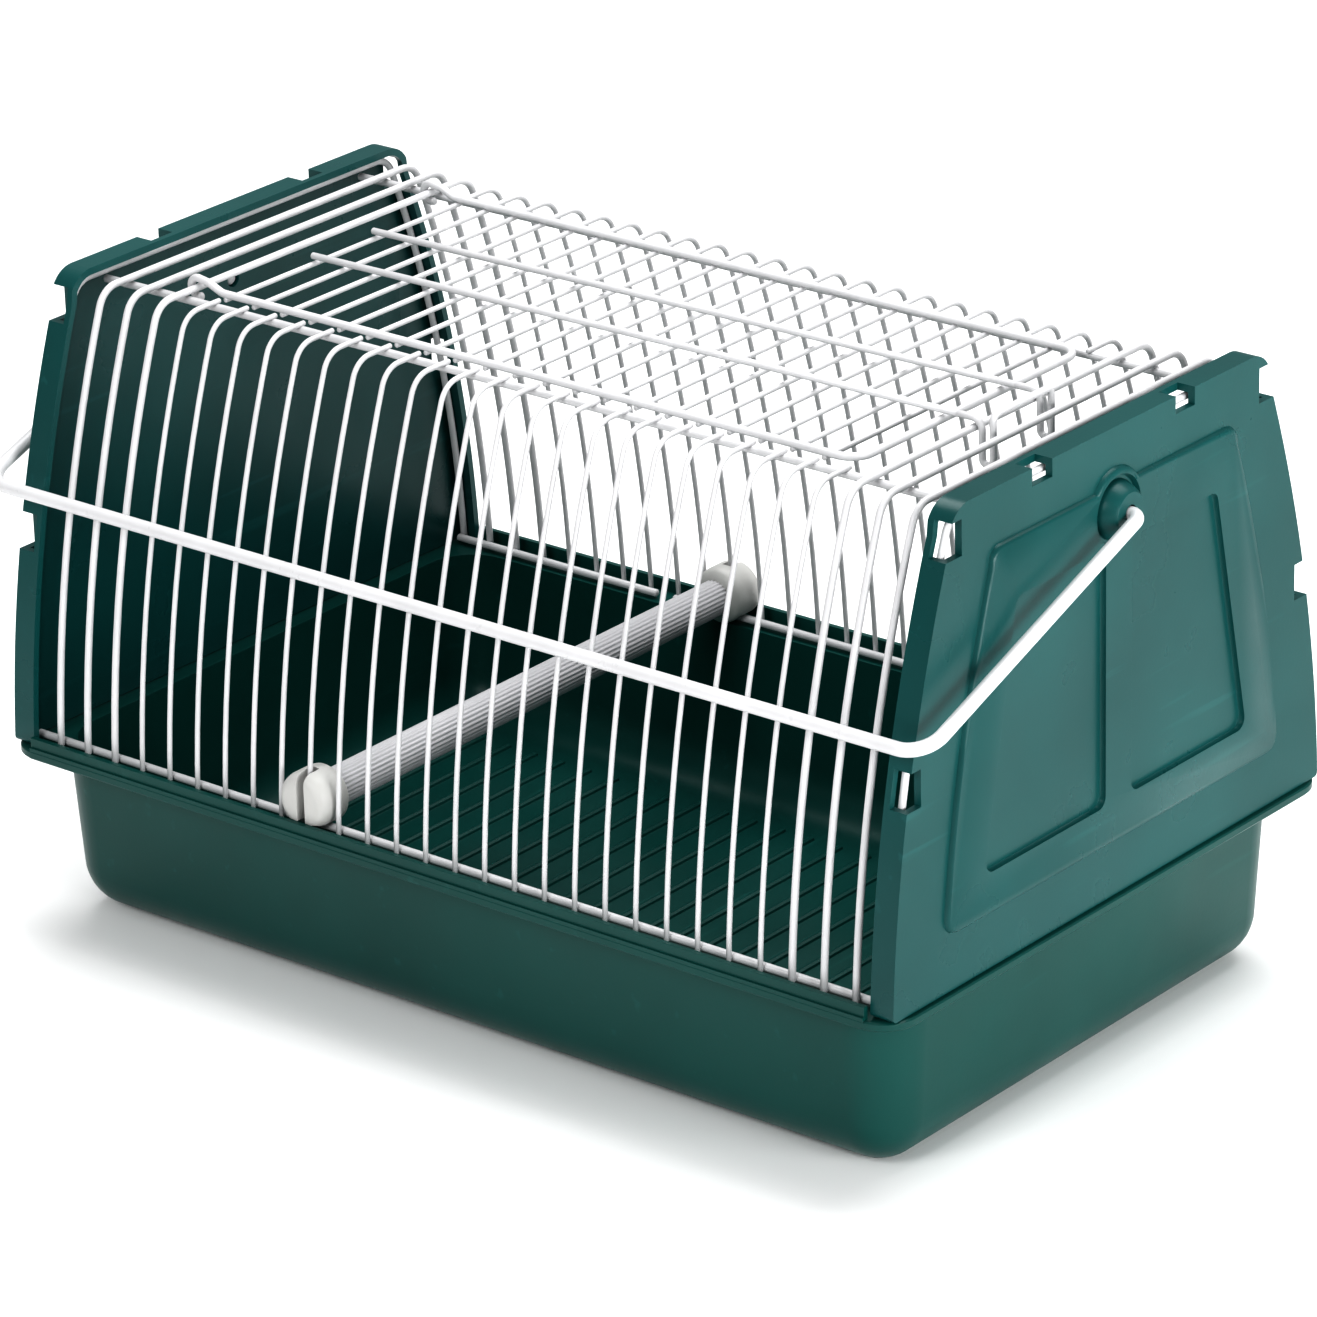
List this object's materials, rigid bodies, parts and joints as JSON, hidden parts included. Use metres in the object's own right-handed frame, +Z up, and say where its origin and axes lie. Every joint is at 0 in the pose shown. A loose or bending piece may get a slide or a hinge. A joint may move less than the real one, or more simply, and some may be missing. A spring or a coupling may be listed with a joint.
{
  "type": "small-bird transport cage",
  "caption": "Low wire transport cage on a lift-off plastic tub, with plastic end panels, a hinged roof door with a spring latch, a folding bail handle and a perch.",
  "frame": {"origin": "centre of the tub's flat underside", "axes": "+Z up, +X along the length towards the latch end, -Y towards the side where the handle is folded down"},
  "size_m": [0.3176, 0.191, 0.1798],
  "materials": {
    "green_plastic": "satin moulded",
    "white_wire": "white powder coat",
    "perch_plastic": "satin moulded",
    "cap_plastic": "satin moulded"
  },
  "bodies": {
    "tub_body": {"tub": "green_plastic"},
    "cage_body": {"left_end_panel": "green_plastic", "right_end_panel": "green_plastic", "hoop_01": "white_wire", "hoop_02": "white_wire", "hoop_03": "white_wire", "hoop_04": "white_wire", "hoop_27": "white_wire", "hoop_28": "white_wire", "hoop_29": "white_wire", "hoop_30": "white_wire", "front_grille": "white_wire", "back_grille": "white_wire", "front_low_rail": "white_wire", "back_low_rail_left": "white_wire", "back_low_rail_right": "white_wire", "perch_rod": "perch_plastic", "perch_cap_front": "cap_plastic", "perch_cap_back": "cap_plastic"},
    "door_body": {"door": "white_wire", "latch_arm_front": "white_wire", "latch_arm_back": "white_wire"},
    "latch_body": {"latch_hooks": "white_wire"},
    "handle_body": {"carry_handle": "white_wire"}
  },
  "joints": [
    {"name": "cage_lift", "type": "slide", "parent": "tub_body", "child": "cage_body", "axis": [0, 0, 1], "range_m": [0, 0.06]},
    {"name": "door_hinge", "type": "hinge", "parent": "cage_body", "child": "door_body", "pos_m": [-0.115, 0, 0.1743], "axis": [0, -1, 0], "range_deg": [0, 150]},
    {"name": "latch_spring", "type": "hinge", "parent": "door_body", "child": "latch_body", "pos_m": [0.1105, 0, 0.1773], "axis": [0, -1, 0], "range_deg": [0, 5], "stiffness_Nm_per_rad": 0.3},
    {"name": "handle_swing", "type": "hinge", "parent": "cage_body", "child": "handle_body", "pos_m": [0, 0, 0.1562], "axis": [-1, 0, 0], "range_deg": [0, 220]}
  ]
}
